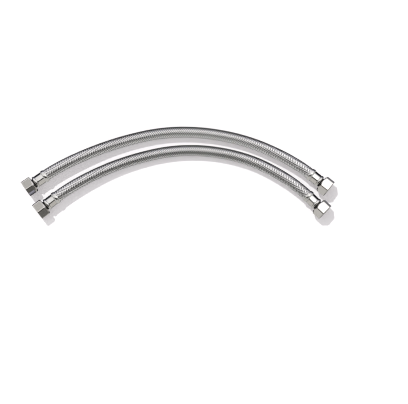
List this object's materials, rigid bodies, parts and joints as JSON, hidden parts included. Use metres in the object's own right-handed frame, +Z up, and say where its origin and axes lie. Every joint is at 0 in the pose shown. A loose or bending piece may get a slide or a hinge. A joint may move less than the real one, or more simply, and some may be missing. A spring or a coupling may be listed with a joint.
{
  "type": "braided supply line",
  "caption": "Flexible water supply hoses in woven steel braid, laid side by side in shallow arches, with a crimped ferrule and a hexagonal swivel nut with female pipe thread at each end",
  "frame": {"origin": "under the middle of the box of all the end fittings (within half a millimetre), on the surface that the hoses lie on", "axes": "+X along the chords of the arches, from the left fittings to the right ones; +Y towards the crowns of the arches, so the rear hose is further along +Y; +Z up"},
  "size_m": [0.5735, 0.1754, 0.0327],
  "materials": {
    "chromed_brass": "polished chrome plate",
    "pressed_steel": "bright drawn stainless steel",
    "steel_wire": "woven stainless wire",
    "brass": "machined",
    "nylon": "moulded nylon",
    "rubber_gasket": "moulded rubber",
    "rubber_tube": "extruded rubber"
  },
  "bodies": {
    "rear_hose": {"rear_left_stem": "brass", "rear_left_ferrule": "pressed_steel", "rear_left_gasket": "rubber_gasket", "rear_right_stem": "brass", "rear_right_ferrule": "pressed_steel", "rear_right_gasket": "rubber_gasket", "rear_wire_braid": "steel_wire", "rear_inner_tube": "rubber_tube"},
    "front_hose": {"front_left_stem": "brass", "front_left_ferrule": "pressed_steel", "front_left_gasket": "rubber_gasket", "front_right_stem": "brass", "front_right_ferrule": "pressed_steel", "front_right_gasket": "rubber_gasket", "front_wire_braid": "steel_wire", "front_inner_tube": "rubber_tube"},
    "rear_left_ring": {"rear_left_slip_ring": "nylon"},
    "rear_left_nut": {"rear_left_swivel_nut": "chromed_brass"},
    "rear_right_ring": {"rear_right_slip_ring": "nylon"},
    "rear_right_nut": {"rear_right_swivel_nut": "chromed_brass"},
    "front_left_ring": {"front_left_slip_ring": "nylon"},
    "front_left_nut": {"front_left_swivel_nut": "chromed_brass"},
    "front_right_ring": {"front_right_slip_ring": "nylon"},
    "front_right_nut": {"front_right_swivel_nut": "chromed_brass"}
  },
  "joints": [
    {"name": "rear_left_nut_play", "type": "slide", "parent": "rear_hose", "child": "rear_left_ring", "axis": [0.8171, 0.5765, 0], "range_m": [0, 0.0024]},
    {"name": "rear_left_nut_spin", "type": "hinge", "parent": "rear_left_ring", "child": "rear_left_nut", "pos_m": [-0.27748, 0.00837, 0.01636], "axis": [-0.8171, -0.5765, 0], "continuous": true},
    {"name": "rear_right_nut_play", "type": "slide", "parent": "rear_hose", "child": "rear_right_ring", "axis": [-0.7742, 0.633, 0], "range_m": [0, 0.0024]},
    {"name": "rear_right_nut_spin", "type": "hinge", "parent": "rear_right_ring", "child": "rear_right_nut", "pos_m": [0.27632, 0.0088, 0.01571], "axis": [0.7742, -0.633, 0], "continuous": true},
    {"name": "front_left_nut_play", "type": "slide", "parent": "front_hose", "child": "front_left_ring", "axis": [0.7831, 0.6219, 0], "range_m": [0, 0.0024]},
    {"name": "front_left_nut_spin", "type": "hinge", "parent": "front_left_ring", "child": "front_left_nut", "pos_m": [-0.25503, -0.0338, 0.01636], "axis": [-0.7831, -0.6219, 0], "continuous": true},
    {"name": "front_right_nut_play", "type": "slide", "parent": "front_hose", "child": "front_right_ring", "axis": [-0.7139, 0.7003, 0], "range_m": [0, 0.0024]},
    {"name": "front_right_nut_spin", "type": "hinge", "parent": "front_right_ring", "child": "front_right_nut", "pos_m": [0.26838, -0.03456, 0.01571], "axis": [0.7139, -0.7003, 0], "continuous": true},
    {"name": "front_hose_lift", "type": "slide", "parent": "rear_hose", "child": "front_hose", "axis": [0, 0, 1], "range_m": [0, 0.1]}
  ]
}
